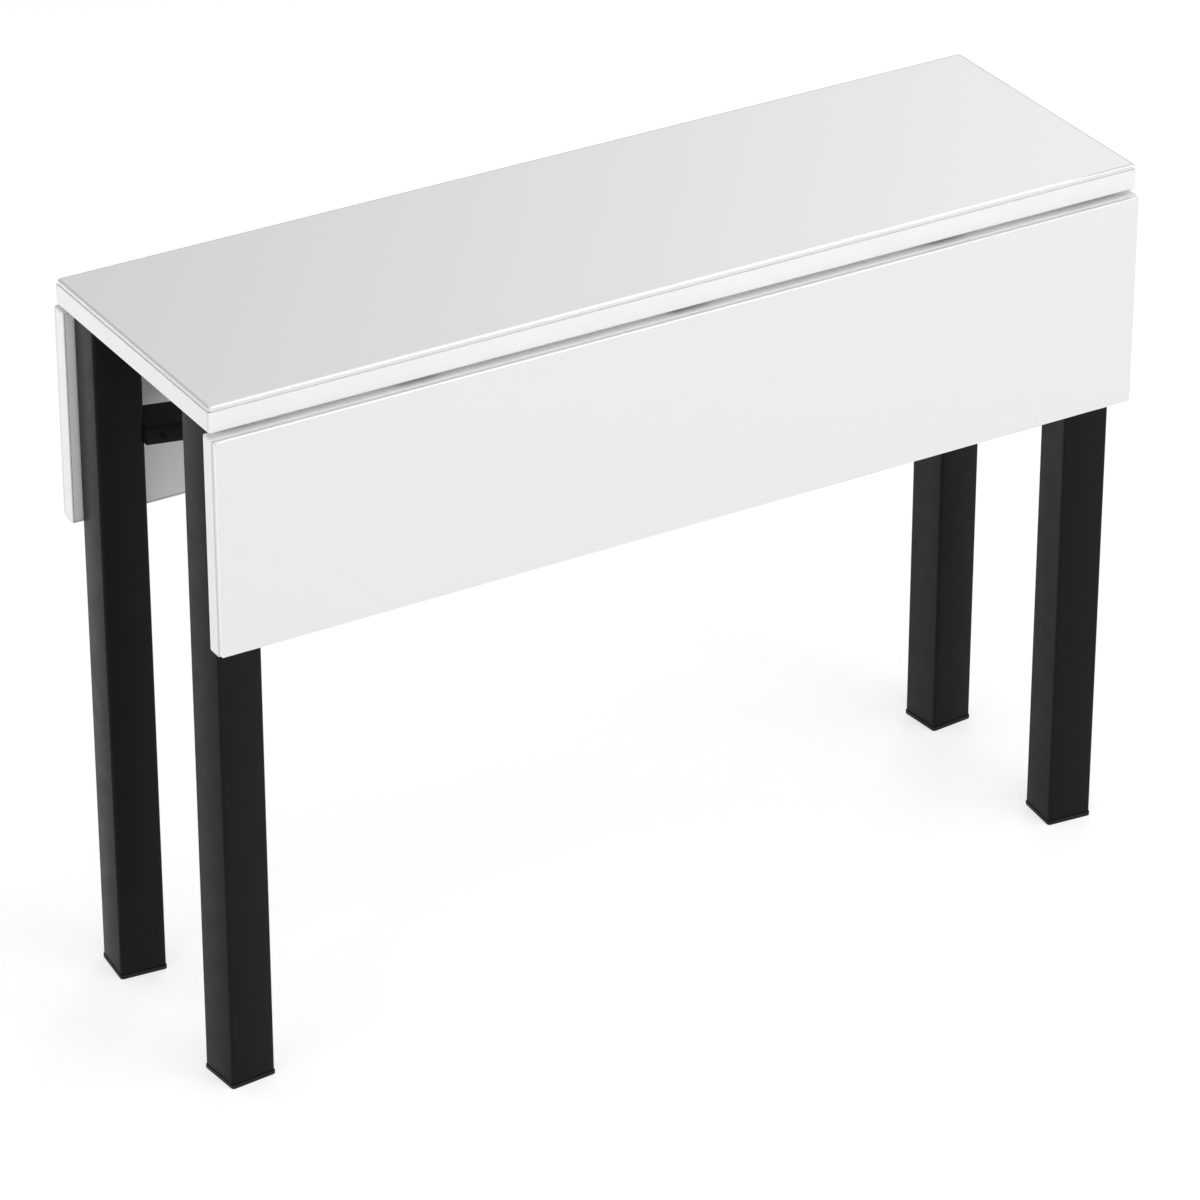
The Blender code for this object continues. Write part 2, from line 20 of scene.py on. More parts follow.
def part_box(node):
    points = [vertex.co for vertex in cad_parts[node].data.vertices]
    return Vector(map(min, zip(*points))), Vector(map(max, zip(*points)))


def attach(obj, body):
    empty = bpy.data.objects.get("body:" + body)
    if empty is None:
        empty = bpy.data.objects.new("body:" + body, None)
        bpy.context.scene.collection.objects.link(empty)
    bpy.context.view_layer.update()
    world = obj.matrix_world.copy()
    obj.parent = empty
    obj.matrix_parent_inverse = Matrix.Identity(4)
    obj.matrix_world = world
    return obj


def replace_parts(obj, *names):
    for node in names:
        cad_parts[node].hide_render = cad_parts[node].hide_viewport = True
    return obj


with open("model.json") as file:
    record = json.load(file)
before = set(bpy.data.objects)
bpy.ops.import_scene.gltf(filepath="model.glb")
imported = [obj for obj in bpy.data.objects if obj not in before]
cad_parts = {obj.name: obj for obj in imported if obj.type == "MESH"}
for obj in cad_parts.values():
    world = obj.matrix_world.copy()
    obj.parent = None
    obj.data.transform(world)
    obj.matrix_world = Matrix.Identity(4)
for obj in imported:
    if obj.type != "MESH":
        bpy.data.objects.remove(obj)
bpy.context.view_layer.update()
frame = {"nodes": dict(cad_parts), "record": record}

NODES = frame["nodes"]
BODIES = frame["record"]["behaviour"]["bodies"]
BODY_OF = {node: body for body, members in BODIES.items() for node in members}

# %% [markdown]
# ## The studio
#
# The table is pictured from above its front left corner with a long lens, so its uprights stay nearly
# parallel. A camera could be dragged into place by eye. Giving it an azimuth, an elevation and a distance
# from the point it looks at is easier to repeat, and says in plain numbers where the photographer stood.

# %% Camera
LENS_MM = 180
LOOK_AT = Vector((-0.018, -0.018, 0.355))
CAMERA_AZIMUTH = math.radians(-30.7)
CAMERA_ELEVATION = math.radians(29.1)
CAMERA_DISTANCE = 6.097


def place_from(target, azimuth, elevation, distance):
    """A point seen from the target at that azimuth and elevation: azimuth 0 is in front, at -Y."""
    level, height = distance * math.cos(elevation), distance * math.sin(elevation)
    return target + Vector((level * math.sin(azimuth), -level * math.cos(azimuth), height))


def aim(obj, target):
    """Turns a camera or a light so that it looks at a point."""
    obj.rotation_euler = (target - obj.location).to_track_quat("-Z", "Y").to_euler()


camera = bpy.data.objects.new("camera", bpy.data.cameras.new("camera"))
bpy.context.scene.collection.objects.link(camera)
camera.data.lens = LENS_MM
camera.location = place_from(LOOK_AT, CAMERA_AZIMUTH, CAMERA_ELEVATION, CAMERA_DISTANCE)
aim(camera, LOOK_AT)
bpy.context.scene.camera = camera
print("camera at", [round(c, 3) for c in camera.location])

# %% [markdown]
# A white table on a white ground shows its shape only through small steps of grey. Large soft lights give
# those steps. One tent of cloth round the table would be simpler, but separate lamps can be balanced face by
# face. A wide strip in front reaches under the rim of the top and into the gap above the leaf. The lamp on
# the left lights the end, one low behind that end grazes the black legs, and one high on the right whitens
# the front arris of the glass. A weak one overhead fills in the top. The rear one mirrors in the glass. It
# fades towards one side, as a lamp behind cloth does, so the top grows lighter from left to right.

# %% Softboxes
SOFTBOXES = {
    "softbox_front": dict(azimuth=6, elevation=31, distance=4.2, size=(4.5, 0.9), power=58),
    "softbox_left": dict(azimuth=-75, elevation=20, distance=3.8, size=(2.4, 1.6), power=22),
    "softbox_left_rear": dict(azimuth=-145, elevation=4, distance=2.4, size=(1.6, 0.8), power=13),
    "softbox_high_right": dict(azimuth=43, elevation=49, distance=3.4, size=(2.8, 2.8), power=26),
    "softbox_overhead": dict(azimuth=0, elevation=88, distance=3.0, size=(2.4, 2.4), power=11),
    "softbox_rear": dict(azimuth=150.5, elevation=38.5, distance=4.4, size=(2.8, 3.8), power=65, fade=True),
}


def fade_across(light):
    """Lets a light weaken evenly from its left-hand side to nothing at its right."""
    light.use_nodes = True
    tree = light.node_tree
    across = tree.nodes.new("ShaderNodeNewGeometry")
    split = tree.nodes.new("ShaderNodeSeparateXYZ")
    turn_round = tree.nodes.new("ShaderNodeMapRange")
    turn_round.inputs["To Min"].default_value = 1.0
    turn_round.inputs["To Max"].default_value = 0.0
    tree.links.new(across.outputs["Parametric"], split.inputs["Vector"])
    tree.links.new(split.outputs["X"], turn_round.inputs["Value"])
    tree.links.new(turn_round.outputs["Result"], tree.nodes["Emission"].inputs["Strength"])


def softbox(name, azimuth, elevation, distance, size, power, fade=False):
    """A rectangular light aimed at the table, hidden from the camera itself."""
    light = bpy.data.lights.new(name, "AREA")
    light.shape = "RECTANGLE"
    light.size, light.size_y = size
    light.energy = power
    if fade:
        fade_across(light)
    lamp = bpy.data.objects.new(name, light)
    lamp.location = place_from(LOOK_AT, math.radians(azimuth), math.radians(elevation), distance)
    aim(lamp, LOOK_AT)
    lamp.visible_camera = False
    bpy.context.scene.collection.objects.link(lamp)


for name, setting in SOFTBOXES.items():
    softbox(name, **setting)
print("softboxes:", len(SOFTBOXES))

# %% [markdown]
# A weak white sky stands for the walls of the studio. Without it every face that no lamp reaches would be
# black. A photographed room could be wrapped round the table instead, but an even sky has no shapes that
# would mirror in the glass. The floor is one plane, so wide that its far edge stays out of the picture. The
# plain view transform keeps white as white.

# %% Sky and floor
FLOOR_SIZE = 60.0
SKY_STRENGTH = 0.35

sky = bpy.data.worlds.new("sky")
sky.use_nodes = True
sky.node_tree.nodes["Background"].inputs["Color"].default_value = (1.0, 1.0, 1.0, 1)
sky.node_tree.nodes["Background"].inputs["Strength"].default_value = SKY_STRENGTH
bpy.context.scene.world = sky
bpy.context.scene.view_settings.view_transform = "Standard"

bpy.ops.mesh.primitive_plane_add(size=FLOOR_SIZE)
floor = bpy.context.object
floor.name = "floor"
print("sky:", SKY_STRENGTH, "floor in metres:", FLOOR_SIZE)

# %% [markdown]
# ## Tools for finishes
#
# Every finish below is a small graph of nodes. Picking colours in the shader editor is quick, but a function
# that starts a material and sets the shader's plain numbers keeps each recipe to a few lines. Textures
# follow the object's own coordinates in metres, so a noise of scale 1000 has grains of about a millimetre,
# and the grain stays put when a leaf swings up.

# %% Start a finish


def start_finish(name, **plain):
    """A new material with its node tree and shader, plain numbers set on the shader's own sockets."""
    material = bpy.data.materials.new(name)
    material.use_nodes = True
    shader = material.node_tree.nodes["Principled BSDF"]
    for socket, value in plain.items():
        shader.inputs[socket.replace("_", " ")].default_value = value
    return material, material.node_tree, shader


def noise(tree, scale, detail=3.0, stretch=(1, 1, 1)):
    """Cloudy grey in the object's own metres; a stretch below 1 draws the clouds out along that axis."""
    where = tree.nodes.new("ShaderNodeTexCoord")
    mapping = tree.nodes.new("ShaderNodeMapping")
    mapping.inputs["Scale"].default_value = stretch
    clouds = tree.nodes.new("ShaderNodeTexNoise")
    clouds.inputs["Scale"].default_value = scale
    clouds.inputs["Detail"].default_value = detail
    tree.links.new(where.outputs["Object"], mapping.inputs["Vector"])
    tree.links.new(mapping.outputs["Vector"], clouds.inputs["Vector"])
    return clouds.outputs["Fac"]


def colours(tree, source, stops):
    """Turns a value into colours, each stop a place from 0 to 1 and a colour."""
    ramp = tree.nodes.new("ShaderNodeValToRGB")
    band = ramp.color_ramp.elements
    while len(band) < len(stops):
        band.new(1.0)
    for element, (place, colour) in zip(band, stops):
        element.position = place
        element.color = (*colour, 1)
    tree.links.new(source, ramp.inputs["Fac"])
    return ramp.outputs["Color"]


print("finishes start from the Principled BSDF shader")

# %% [markdown]
# A real surface is never one even colour or one even gloss. Painting that by hand would need an image for
# every piece. Three small tools do it with noise instead: one lets the colour drift between two tints, one
# lets the gloss drift, and one raises a fine relief. Most of a noise lies in the middle of its range, so
# that middle is what we stretch over the two ends.

# %% Drift and relief
CLOUD_DARK, CLOUD_LIGHT = 0.3, 0.7


def tint(tree, shader, source, dark, light):
    """Lets the colour drift between two tints."""
    drift = colours(tree, source, ((CLOUD_DARK, dark), (CLOUD_LIGHT, light)))
    tree.links.new(drift, shader.inputs["Base Color"])


def roughen(tree, shader, source, low, high):
    """Lets the roughness drift between two values."""
    drift = tree.nodes.new("ShaderNodeMapRange")
    limits = {"From Min": CLOUD_DARK, "From Max": CLOUD_LIGHT, "To Min": low, "To Max": high}
    for socket, value in limits.items():
        drift.inputs[socket].default_value = value
    tree.links.new(source, drift.inputs["Value"])
    tree.links.new(drift.outputs["Result"], shader.inputs["Roughness"])


def relief(tree, shader, source, height):
    """Raises the surface by up to a height in metres where the source is white."""
    bump = tree.nodes.new("ShaderNodeBump")
    bump.inputs["Distance"].default_value = height
    tree.links.new(source, bump.inputs["Height"])
    tree.links.new(bump.outputs["Normal"], shader.inputs["Normal"])


print("noise is stretched from", CLOUD_DARK, "to", CLOUD_LIGHT)

# %% [markdown]
# The floor gets the first finish. Small things are often photographed on a sheet of opal plastic with lamps
# below it, because its own light washes out most of the shadow. Stronger lamps above would whiten the floor
# too, but the table with it. So we give the sheet a pale colour and a glow.

# %% Floor sheet
FLOOR_GLOW = 0.62
opal, tree, shader = start_finish("floor_opal", Roughness=0.9, Specular_IOR_Level=0.1)
shader.inputs["Emission Color"].default_value = (1.0, 1.0, 1.0, 1)
shader.inputs["Emission Strength"].default_value = FLOOR_GLOW
tint(tree, shader, noise(tree, scale=0.6), (0.50, 0.50, 0.50), (0.52, 0.52, 0.52))
floor.data.materials.append(opal)
print("floor sheet:", opal.name)

# %% [markdown]
# ## White glass
#
# The panels are clear glass, painted white on the back. Seen from the front the paint gives the colour and
# the glass the gloss. Round the rim we look into the glass itself: the flat of the edge is a pale grey, and
# the ground arris acts as a thin mirror, white where it faces a lamp and grey where it faces the dark. We
# could model the paint under a clear block and let the light find its way, but that is slow and grainy. One
# shader that asks which way a face points does the same job.

# %% Glass finish
LACQUER = (0.745, 0.743, 0.737)
SHOULDER = (0.80, 0.80, 0.795)
ARRIS = (0.87, 0.88, 0.875)
GLASS_EDGE = (0.70, 0.715, 0.705)
NO_MIRROR = (0.0, 0.0, 0.0)
SHOULDER_MIRROR = (0.34, 0.34, 0.34)
ARRIS_MIRROR = (0.55, 0.55, 0.55)

# From the edge to the face: how squarely a zone looks out, its colour and how far it acts as a mirror.
RIM_ZONES = (
    (0.350, GLASS_EDGE, NO_MIRROR),
    (0.500, ARRIS, ARRIS_MIRROR),
    (0.930, ARRIS, ARRIS_MIRROR),
    (0.955, SHOULDER, SHOULDER_MIRROR),
    (0.982, SHOULDER, SHOULDER_MIRROR),
    (0.992, LACQUER, NO_MIRROR),
)


def facing(tree, axis):
    """How squarely a face looks along an axis of its object: 1 flat on, 0 edge on."""
    normal = tree.nodes.new("ShaderNodeTexCoord")
    split = tree.nodes.new("ShaderNodeSeparateXYZ")
    amount = tree.nodes.new("ShaderNodeMath")
    amount.operation = "ABSOLUTE"
    tree.links.new(normal.outputs["Normal"], split.inputs["Vector"])
    tree.links.new(split.outputs[axis], amount.inputs[0])
    return amount.outputs["Value"]


def glass_finish(name, thickness_axis):
    """Back-painted glass whose faces point along an axis, X, Y or Z."""
    material, tree, shader = start_finish(name, IOR=1.52)
    squarely = facing(tree, thickness_axis)
    rim = colours(tree, squarely, [(place, colour) for place, colour, mirror in RIM_ZONES])
    mirrors = colours(tree, squarely, [(place, mirror) for place, colour, mirror in RIM_ZONES])
    tree.links.new(rim, shader.inputs["Base Color"])
    tree.links.new(mirrors, shader.inputs["Metallic"])
    roughen(tree, shader, noise(tree, scale=9.0), low=0.07, high=0.10)
    relief(tree, shader, noise(tree, scale=5.0, detail=1.0, stretch=(0.4, 1, 1)), height=0.00004)
    return material


top_finish = glass_finish("white_glass_top", "Z")
leaf_finish = glass_finish("white_glass_leaf", "Y")
print("glass finishes:", top_finish.name, leaf_finish.name)

# %% [markdown]
# ## Clean copies and skins
#
# A solid from a CAD file comes in as loose triangles with razor edges. It could be shown as it is. But real
# edges are never that sharp, and a hairline of light along them is what makes a render believable. So we
# make a clean copy of a solid, weld its corners, and let a Bevel modifier ease the edges. The copy then
# stands for the solid.

# %% Dress a solid
WELD_DISTANCE = 0.00002
FLAT_WITHIN = math.radians(0.4)
EDGE_ANGLE = math.radians(32)


def clean_solid(node):
    """The node's faces as one welded solid with its flat areas joined."""
    solid = bmesh.new()
    solid.from_mesh(NODES[node].data)
    bmesh.ops.remove_doubles(solid, verts=solid.verts, dist=WELD_DISTANCE)
    bmesh.ops.dissolve_limit(solid, angle_limit=FLAT_WITHIN, verts=solid.verts, edges=solid.edges)
    return solid


def new_piece(name, solid, material, body, ease=0.0):
    """Turns a solid into a finished piece that rides on a body, its edges eased by a bevel."""
    bmesh.ops.recalc_face_normals(solid, faces=solid.faces)
    mesh = bpy.data.meshes.new(name)
    solid.to_mesh(mesh)
    solid.free()
    mesh.materials.append(material)
    mesh.shade_smooth()
    mesh.set_sharp_from_angle(angle=EDGE_ANGLE)
    piece = bpy.data.objects.new(name, mesh)
    bpy.context.scene.collection.objects.link(piece)
    if ease:
        bevel = piece.modifiers.new("eased edges", "BEVEL")
        bevel.width = ease
        bevel.segments = 2
        bevel.limit_method = "ANGLE"
        bevel.angle_limit = EDGE_ANGLE
        bevel.harden_normals = True
    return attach(piece, body)


def dress(node, suffix, material, ease):
    """A clean copy of a solid with its finish, which then stands for that solid."""
    piece = new_piece(node + suffix, clean_solid(node), material, BODY_OF[node], ease)
    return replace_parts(piece, node)


print("edges sharper than", round(math.degrees(EDGE_ANGLE)), "degrees will be eased")

# %% [markdown]
# Where a copy is too coarse we draw the piece afresh, as a boat builder stretches a hull over its frames: a
# few rings of points, and a skin from each ring to the next. Blender can bridge two loops by itself, but it
# has to guess which point meets which. Our rings all start at the same corner, so their points match by
# number. A panel's ring is a rectangle with round corners.

# %% Rings and skins
CORNER_STEPS = 9
CORNER_SIGNS = ((1, 1), (-1, 1), (-1, -1), (1, -1))


def panel_ring(low, high, across, level, setback, corner):
    """An outline with rounded corners, set back from a panel's edges, at a level in its thickness."""
    ring = []
    for quarter, (end, side) in enumerate(CORNER_SIGNS):
        for step in range(CORNER_STEPS + 1):
            angle = (quarter + step / CORNER_STEPS) * math.pi / 2
            point = Vector((0, 0, 0))
            point[3 - across] = level
            for axis, sign, reach in ((0, end, math.cos(angle)), (across, side, math.sin(angle))):
                edge = high[axis] - setback if sign > 0 else low[axis] + setback
                point[axis] = edge - sign * corner + corner * reach
            ring.append(point)
    return ring


def loft(solid, rings, place=Matrix(), closed=False):
    """Adds a skin through rings of matching points, capped at both ends or closed round."""
    loops = [[solid.verts.new(place @ Vector(point)) for point in ring] for ring in rings]
    pairs = list(zip(loops, loops[1:]))
    if closed:
        pairs.append((loops[-1], loops[0]))
    else:
        solid.faces.new(loops[0])
        solid.faces.new(loops[-1])
    for near, far in pairs:
        for i, vert in enumerate(near):
            j = (i + 1) % len(near)
            solid.faces.new((vert, near[j], far[j], far[i]))


print("points in a panel's ring:", len(CORNER_SIGNS) * (CORNER_STEPS + 1))

# %% [markdown]
# The panes are drawn fresh from their boxes, because here the last half millimetre counts. A glazier grinds
# the arris on the show side a little wider than the one that is glued down, and a bevel on a copy would make
# both the same. Inside its arris the top pane has a flat shoulder as well: it stands for the clear rim past
# the paint, which draws a thin line along the far edges. We stack rings, each drawn in by the width of its
# facet, and skin them. The facets of the rim, all with four corners, are shaded smooth. The two broad faces
# stay flat, or the rim would bend what mirrors in them.

# %% Glass panes
GLASS_CORNER = 0.003
SHOW_ARRIS = 0.0008
GLUED_ARRIS = 0.0003
GLASS_EASE = 0.0002
SHOULDER_WIDTH = 0.0018
SHOULDER_DROP = 0.0004
FACET_ANGLE = math.radians(10.5)
PANELS = {
    "top": dict(across=1, outward=1, finish=top_finish, drop=SHOULDER_DROP),
    "front_leaf": dict(across=2, outward=-1, finish=leaf_finish, drop=0.0),
    "rear_leaf": dict(across=2, outward=1, finish=leaf_finish, drop=0.0),
}

for panel, facts in PANELS.items():
    node, across, outward, drop = panel + "_glass", facts["across"], facts["outward"], facts["drop"]
    low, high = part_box(node)
    glued, shown = (low, high) if outward > 0 else (high, low)
    glued, shown = glued[3 - across], shown[3 - across]
    levels = [
        (glued, GLUED_ARRIS),
        (glued + outward * GLUED_ARRIS, 0),
        (shown - outward * (drop + SHOW_ARRIS), 0),
        (shown - outward * drop, SHOW_ARRIS),
    ]
    if drop:
        levels.append((shown, SHOW_ARRIS + SHOULDER_WIDTH))
    solid = bmesh.new()
    loft(solid, [panel_ring(low, high, across, level, inset, GLASS_CORNER) for level, inset in levels])
    pane = new_piece(node + "_pane", solid, facts["finish"], BODY_OF[node], GLASS_EASE)
    pane.data.set_sharp_from_angle(angle=FACET_ANGLE)
    for face in pane.data.polygons:
        face.use_smooth = len(face.vertices) == 4
    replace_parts(pane, node)
    print(pane.name, "thickness, mm:", round(abs(shown - glued) * 1000, 2))

# %% [markdown]
# ## Edged boards
#
# Under the glass lies ordinary furniture board: a pressed core with a strip of white plastic glued round its
# four edges, and a thin skin of white resin on the face away from the glass. One white for all of it would
# do from afar. Up close the plastic is smoother than the skin, and the core, which shows wherever something
# is cut into it, is brown and made of chips. So it takes three finishes.

# %% Board finishes
edging, tree, shader = start_finish("white_edging", Specular_IOR_Level=0.45)
tint(tree, shader, noise(tree, scale=22.0), (0.795, 0.795, 0.790), (0.815, 0.815, 0.810))
roughen(tree, shader, noise(tree, scale=60.0), low=0.30, high=0.40)
relief(tree, shader, noise(tree, scale=1400.0, detail=1.0), height=0.000006)

melamine, tree, shader = start_finish("white_melamine", Specular_IOR_Level=0.4)
tint(tree, shader, noise(tree, scale=35.0), (0.800, 0.795, 0.812), (0.830, 0.826, 0.838))
roughen(tree, shader, noise(tree, scale=80.0), low=0.38, high=0.48)
relief(tree, shader, noise(tree, scale=1100.0, detail=2.0), height=0.000012)

CHIP_COLOURS = ((0.32, (0.27, 0.18, 0.10)), (0.52, (0.38, 0.27, 0.16)), (0.70, (0.48, 0.36, 0.23)))
raw_board, tree, shader = start_finish("raw_pressed_board", Specular_IOR_Level=0.15)
chips = noise(tree, scale=260.0, detail=6.0, stretch=(0.35, 1, 1))
tree.links.new(colours(tree, chips, CHIP_COLOURS), shader.inputs["Base Color"])
roughen(tree, shader, noise(tree, scale=90.0), low=0.62, high=0.82)
relief(tree, shader, chips, height=0.00012)
print("board finishes:", edging.name, melamine.name, raw_board.name)

# %% [markdown]
# To edge a board we have to saw it. A Boolean with a box would cut it too, but a slice needs no more than one
# bisecting plane: what lies on one side of it goes, and the open cut is filled.

# %% Saw cut


def cut(solid, axis, place, keep):
    """A copy of a solid cut across an axis, with the part on one side of a place kept and closed."""
    part = solid.copy()
    point, away = Vector((0, 0, 0)), Vector((0, 0, 0))
    point[axis] = place
    away[axis] = -keep
    everything = part.verts[:] + part.edges[:] + part.faces[:]
    done = bmesh.ops.bisect_plane(part, geom=everything, plane_co=point, plane_no=away, clear_outer=True)
    rim = [piece for piece in done["geom_cut"] if isinstance(piece, bmesh.types.BMEdge)]
    bmesh.ops.holes_fill(part, edges=rim)
    return part


print("a cut keeps the side above a place with 1, and the side below it with -1")

# %% [markdown]
# The long strips go on last and cover the ends of the short ones, and that leaves a hairline joint beside
# every corner. A painted line could stand for it. Slicing the board into a core and four strips costs a few
# lines more and gives a real joint, with its own small shadow. Then each face of the core is asked whether
# it lies on the board's inner face, and takes the white skin if it does. The pockets for the hinges keep the
# raw core.

# %% Edge the boards
EDGING = 0.002
EDGING_JOINT = 0.0004
EDGING_EASE = 0.0003
SKIN_DEPTH = 0.0002
LONG_STRIPS = {1: ("front", "rear"), 2: ("lower", "upper")}


def edged_board(panel, across, outward, sides):
    """Slices a board into its core, which is skinned on its inner face, and four strips of edging."""
    node = panel + "_board"
    low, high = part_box(node)
    whole = clean_solid(node)
    inner = cut(cut(whole, across, low[across] + EDGING, 1), across, high[across] - EDGING, -1)
    core = cut(cut(inner, 0, low[0] + EDGING, 1), 0, high[0] - EDGING, -1)
    strips = {
        sides[0]: cut(whole, across, low[across] + EDGING - EDGING_JOINT, -1),
        sides[1]: cut(whole, across, high[across] - EDGING + EDGING_JOINT, 1),
        "left": cut(inner, 0, low[0] + EDGING - EDGING_JOINT, -1),
        "right": cut(inner, 0, high[0] - EDGING + EDGING_JOINT, 1),
    }
    inner_face = (low if outward > 0 else high)[3 - across]
    for face in core.faces:
        face.material_index = int(abs(face.calc_center_median()[3 - across] - inner_face) < SKIN_DEPTH)
    piece = new_piece(node + "_core", core, raw_board, BODY_OF[node], EDGING_EASE)
    piece.data.materials.append(melamine)
    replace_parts(piece, node)
    for side, strip in strips.items():
        new_piece(f"{node}_edging_{side}", strip, edging, BODY_OF[node], EDGING_EASE)
    return len(strips)


for panel, facts in PANELS.items():
    across = facts["across"]
    strip_count = edged_board(panel, across, facts["outward"], LONG_STRIPS[across])
    print(panel, "edging strips:", strip_count)

# %% [markdown]
# The glass is glued to its board. From outside only the rim of that glue shows, as a soft grey line set back
# between the two. The gap could stay empty, but light would leak through it. A sheet that fills it, a little
# smaller than the glass and hollow at its rim where the glue has drawn in, is enough.

# %% Glue line
GLUE_SETBACK = 0.0016
GLUE_HOLLOW = 0.0003
glue, tree, shader = start_finish("grey_glue", Specular_IOR_Level=0.3)
tint(tree, shader, noise(tree, scale=120.0), (0.73, 0.73, 0.72), (0.79, 0.79, 0.78))
roughen(tree, shader, noise(tree, scale=300.0), low=0.35, high=0.55)

for panel, facts in PANELS.items():
    across = facts["across"]
    board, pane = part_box(panel + "_board"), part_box(panel + "_glass")
    start, end = sorted(corner[3 - across] for corner in (*board, *pane))[1:3]
    levels = (
        (start, GLUE_SETBACK),
        ((start + end) / 2, GLUE_SETBACK + GLUE_HOLLOW),
        (end, GLUE_SETBACK),
    )
    solid = bmesh.new()
    loft(solid, [panel_ring(*board, across, level, inset, GLASS_CORNER) for level, inset in levels])
    new_piece(panel + "_glue", solid, glue, BODY_OF[panel + "_board"])
    print(panel, "glue line, mm:", round((end - start) * 1000, 2))

# %% [markdown]
# ## Black frame
#
# Powder coat is sprayed on as dust and melted in an oven, so it sets with a faint orange peel. A smooth black
# would mirror the lamps like lacquer. A noise of about a millimetre drives a relief far too low to see by
# itself; it only breaks up the reflections.

# %% Powder coat
STEEL_EASE = 0.0004
coat, tree, shader = start_finish("black_powder_coat", Specular_IOR_Level=0.115)
tint(tree, shader, noise(tree, scale=6.0), (0.0040, 0.0039, 0.0039), (0.0052, 0.0050, 0.0050))
roughen(tree, shader, noise(tree, scale=40.0), low=0.40, high=0.48)
relief(tree, shader, noise(tree, scale=800.0, detail=2.0), height=0.00002)

steel_nodes = [node for node in NODES if node.startswith("leg_")]
steel_nodes += ["upper_arm_beam", "lower_arm_beam", "pivot_post"]
for node in steel_nodes:
    dress(node, "_coated", coat, STEEL_EASE)
print("coated pieces:", len(steel_nodes))

# %% [markdown]
# The pivot post is a tube welded to a plate. A plain ring between them would look machined. A weld bead is a
# row of small frozen waves, so we sweep a round along a circle and let its size pulse. The inner half sinks
# into the steel, as a real bead melts into it.

# %% Weld bead under the pivot plate
PIVOT_PLATE = 0.004
COLUMN_END = 0.001
BEAD_SIZE = 0.0024
BEAD_TROUGH = 0.88
BEAD_SWELL = 0.16
BEAD_WAVES = 40
BEAD_STEPS = 160
BEAD_ROUND = 10
post_low, post_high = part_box("pivot_post")
post_points = [vertex.co for vertex in NODES["pivot_post"].data.vertices]
column = max(abs(point.x) for point in post_points if point.z < post_low.z + COLUMN_END)
bead = bmesh.new()
rings = []
for step in range(BEAD_STEPS):
    angle = 2 * math.pi * step / BEAD_STEPS
    size = BEAD_SIZE * (BEAD_TROUGH + BEAD_SWELL * abs(math.sin(angle * BEAD_WAVES / 2)))
    ring = []
    for part in range(BEAD_ROUND):
        turn = 2 * math.pi * part / BEAD_ROUND
        reach = column + size * math.cos(turn)
        level = post_high.z - PIVOT_PLATE + size * math.sin(turn)
        ring.append((reach * math.cos(angle), reach * math.sin(angle), level))
    rings.append(ring)
loft(bead, rings, closed=True)
new_piece("pivot_post_weld", bead, coat, "top")
print("weld bead round a column of radius, mm:", round(column * 1000, 1))

# %% [markdown]
# Feet and glides are moulded plastic. They could share the black of the frame, and would then melt into it.
# The mould was etched, so the plastic is matt with a fine grain, and that is what sets it off from the satin
# steel beside it.

# %% Moulded feet and glides
PLASTIC_EASE = 0.0003
plastic, tree, shader = start_finish("black_moulded_plastic", Specular_IOR_Level=0.2)
tint(tree, shader, noise(tree, scale=25.0), (0.0075, 0.0075, 0.0078), (0.0100, 0.0100, 0.0104))
roughen(tree, shader, noise(tree, scale=150.0), low=0.50, high=0.62)
relief(tree, shader, noise(tree, scale=2600.0, detail=2.0), height=0.00003)

plastic_nodes = [node for node in NODES if node.startswith(("foot_", "glide_"))]
for node in plastic_nodes:
    dress(node, "_moulded", plastic, PLASTIC_EASE)
print("moulded pieces:", len(plastic_nodes))

# %% [markdown]
# ## Hinges and fittings
#
# The hinges, their pins, the bolt with its nut and the sleeves in the beams are zinc plated. An even metal
# would look like chrome. Plating follows the rolled steel under it, so its shine is streaked one way and
# clouded in patches: the same long noise drives the roughness and a very low relief.

# %% Zinc plate
ZINC_EASE = 0.00025
zinc, tree, shader = start_finish("bright_zinc", Metallic=1.0)
tint(tree, shader, noise(tree, scale=70.0), (0.50, 0.51, 0.54), (0.62, 0.63, 0.65))
streaks = noise(tree, scale=900.0, detail=2.0, stretch=(1, 1, 0.04))
roughen(tree, shader, streaks, low=0.26, high=0.40)
relief(tree, shader, streaks, height=0.000004)

zinc_nodes = [node for node in NODES if "_hinge_" in node or node.endswith("_sleeve")]
zinc_nodes += ["pivot_bolt", "pivot_nut"]
for node in zinc_nodes:
    dress(node, "_plated", zinc, ZINC_EASE)
print("plated pieces:", len(zinc_nodes))

# %% [markdown]
# Three nylon washers let the arms turn without grinding steel on steel. The white of the boards would serve,
# but natural nylon is a warm off-white, waxy rather than glossy, and that tells it from paint at a glance.

# %% Nylon washers
nylon, tree, shader = start_finish("natural_nylon", Specular_IOR_Level=0.4)
tint(tree, shader, noise(tree, scale=50.0), (0.66, 0.64, 0.57), (0.74, 0.72, 0.66))
roughen(tree, shader, noise(tree, scale=200.0), low=0.36, high=0.50)

washers = [node for node in NODES if node.startswith("pivot_washer_")]
for node in washers:
    dress(node, "_turned", nylon, PLASTIC_EASE)
print("washers:", len(washers))

# %% [markdown]
# Hinges and pivot plate are held by countersunk screws with a cross recess. All of a screw's outlines can be
# drawn with the same twenty-four points: the distance from the axis is constant for a round, and for a cross
# it follows the nearest arm. A Boolean could sink the recess into a head, but rings with matching points can
# be skinned straight from one shape to the other.

# %% Outlines round an axis
ROUND_POINTS = 24
CROSS_HALF_ARM = math.radians(15)
NEAR_ZERO = 0.001


